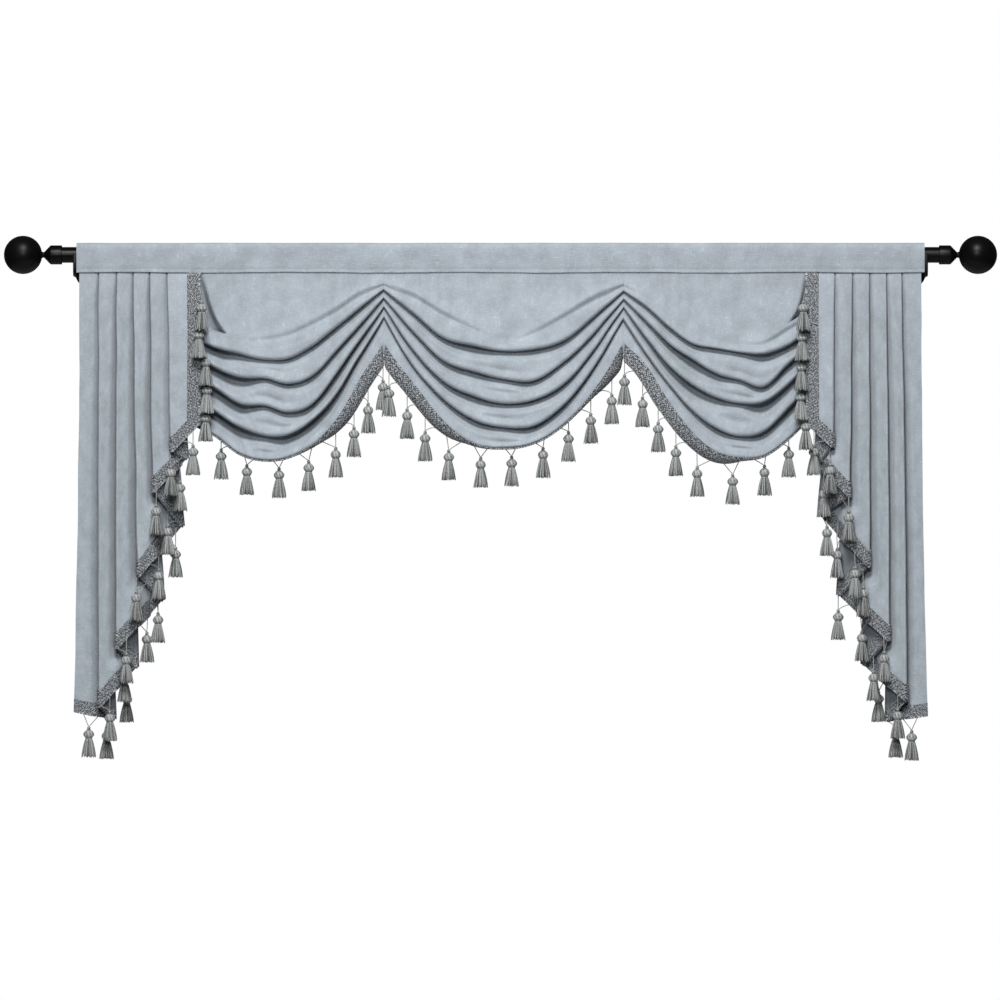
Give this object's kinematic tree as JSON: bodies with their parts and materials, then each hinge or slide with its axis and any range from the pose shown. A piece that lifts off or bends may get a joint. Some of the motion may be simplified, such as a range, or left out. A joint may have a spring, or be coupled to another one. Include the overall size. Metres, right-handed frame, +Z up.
{
  "type": "chenille swag valance on curtain rod",
  "caption": "Swag valance in grey-blue chenille with pleated side jabots and tasselled braid, sleeved on a black rod with ball ends and wall brackets.",
  "frame": {"origin": "on the wall plane, straight behind the middle of the rod's axis", "axes": "+X along the rod to the right of someone who looks at the front, +Y into the wall, +Z up"},
  "size_m": [1.762, 0.1513, 0.9202],
  "materials": {
    "chenille": "soft blue-grey chenille with a mottled pile",
    "braid_fringe": "woven braid and silky tassels in mixed light and dark greys",
    "black_metal": "satin black powder coat"
  },
  "bodies": {
    "root": {"rod": "black_metal", "finial_left": "black_metal", "finial_right": "black_metal", "bracket_left": "black_metal", "bracket_right": "black_metal", "heading": "chenille", "swag_left": "chenille", "swag_centre": "chenille", "swag_right": "chenille", "jabot_left": "chenille", "jabot_right": "chenille", "fringe_swag_left": "braid_fringe", "fringe_swag_centre": "braid_fringe", "fringe_swag_right": "braid_fringe", "fringe_jabot_left": "braid_fringe", "fringe_jabot_right": "braid_fringe"}
  },
  "joints": []
}
